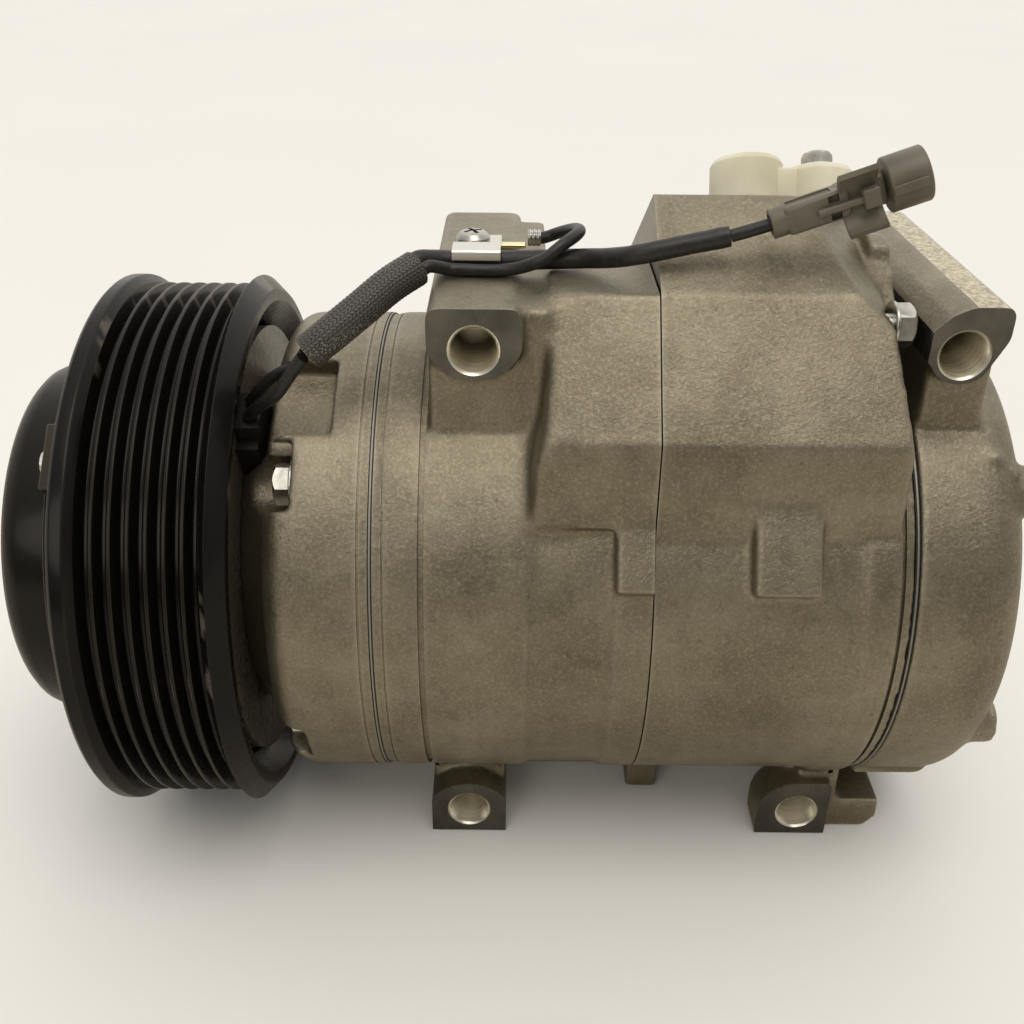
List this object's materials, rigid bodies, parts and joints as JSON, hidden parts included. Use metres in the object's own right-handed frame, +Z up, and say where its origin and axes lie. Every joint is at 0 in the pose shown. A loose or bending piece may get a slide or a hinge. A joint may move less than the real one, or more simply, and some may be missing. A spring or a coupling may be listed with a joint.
{
  "type": "automotive ac compressor",
  "caption": "Swash-plate air-conditioning compressor with a ribbed belt pulley, magnetic clutch, cast mounting lugs, port tower and clutch lead.",
  "frame": {"origin": "on the shaft axis, in the middle plane of the belt grooves", "axes": "+X along the shaft from the clutch to the rear, +Y along the mounting bores, +Z up to the port tower"},
  "size_m": [0.2183, 0.1264, 0.1637],
  "materials": {
    "cast_aluminium": "sand-textured die casting with machined faces",
    "zinc_steel": "bright zinc plating",
    "hard_steel": "ground steel",
    "black_steel": "gloss black coating",
    "piston_aluminium": "machined aluminium",
    "black_rubber": "moulded rubber",
    "ptfe": "filled seal plastic",
    "black_plastic": "black cable jacket",
    "braid": "braided polyester sleeve",
    "grey_plastic": "warm grey moulding",
    "nylon": "natural nylon",
    "brass": "tinned brass",
    "copper": "enamelled copper winding"
  },
  "bodies": {
    "casing": {"front_housing": "cast_aluminium", "front_cylinder_block": "cast_aluminium", "rear_cylinder_block": "cast_aluminium", "rear_housing": "cast_aluminium", "valve_plates": "hard_steel", "suction_reeds": "hard_steel", "discharge_reeds": "hard_steel", "gaskets": "black_rubber", "block_seal_ring": "black_rubber", "through_bolts": "zinc_steel", "shaft_seal": "black_rubber", "seal_snap_ring": "zinc_steel", "radial_bearing_shells": "hard_steel", "thrust_races_fixed": "hard_steel", "field_coil": "copper", "coil_housing": "black_steel", "coil_snap_ring": "zinc_steel", "coil_terminal_block": "black_plastic", "coil_leads": "black_plastic", "braided_sleeve": "braid", "cable_sheath": "black_plastic", "ground_wire": "black_plastic", "ring_terminal": "brass", "crimp_sleeve": "zinc_steel", "harness_clip": "zinc_steel", "clip_screw": "zinc_steel", "connector_body": "grey_plastic", "connector_cap": "grey_plastic", "port_cap": "nylon", "port_cap_bolt": "zinc_steel", "muffler_bolt": "zinc_steel", "relief_valve": "zinc_steel", "bearing_inner_ring": "hard_steel", "bearing_snap_ring": "zinc_steel", "piston_1": "piston_aluminium", "piston_2": "piston_aluminium", "piston_3": "piston_aluminium", "piston_4": "piston_aluminium", "piston_5": "piston_aluminium", "piston_rings": "ptfe", "shoes": "hard_steel"},
    "rotor": {"shaft": "hard_steel", "swash_plate": "hard_steel", "clutch_hub": "black_steel", "hub_rubber": "black_rubber", "hub_cover": "black_steel", "hub_nut": "hard_steel", "thrust_races_turning": "hard_steel"},
    "armature": {"armature_plate": "black_steel", "armature_rivets": "hard_steel"},
    "pulley": {"pulley": "black_steel", "bearing_outer_ring": "hard_steel"},
    "ball_cage": {"bearing_balls": "hard_steel", "bearing_cage": "brass"},
    "thrust_cage": {"thrust_needle_cages": "hard_steel"},
    "roller_cage": {"radial_bearing_rollers": "hard_steel"}
  },
  "joints": [
    {"name": "shaft_spin", "type": "hinge", "parent": "casing", "child": "rotor", "pos_m": [0, 0, 0], "axis": [1, 0, 0], "continuous": true},
    {"name": "pulley_spin", "type": "hinge", "parent": "casing", "child": "pulley", "pos_m": [0, 0, 0], "axis": [1, 0, 0], "continuous": true},
    {"name": "armature_pull", "type": "slide", "parent": "rotor", "child": "armature", "axis": [1, 0, 0], "range_m": [0, 0.00048]},
    {"name": "ball_cage_turn", "type": "hinge", "parent": "casing", "child": "ball_cage", "pos_m": [0, 0, 0], "axis": [1, 0, 0], "continuous": true},
    {"name": "thrust_cage_turn", "type": "hinge", "parent": "casing", "child": "thrust_cage", "pos_m": [0, 0, 0], "axis": [1, 0, 0], "continuous": true},
    {"name": "roller_cage_turn", "type": "hinge", "parent": "casing", "child": "roller_cage", "pos_m": [0, 0, 0], "axis": [1, 0, 0], "continuous": true}
  ],
  "couplings": [
    {"joint": "ball_cage_turn", "follows": "pulley_spin", "ratio": 0.5713},
    {"joint": "thrust_cage_turn", "follows": "shaft_spin", "ratio": 0.5},
    {"joint": "roller_cage_turn", "follows": "shaft_spin", "ratio": 0.4378}
  ]
}
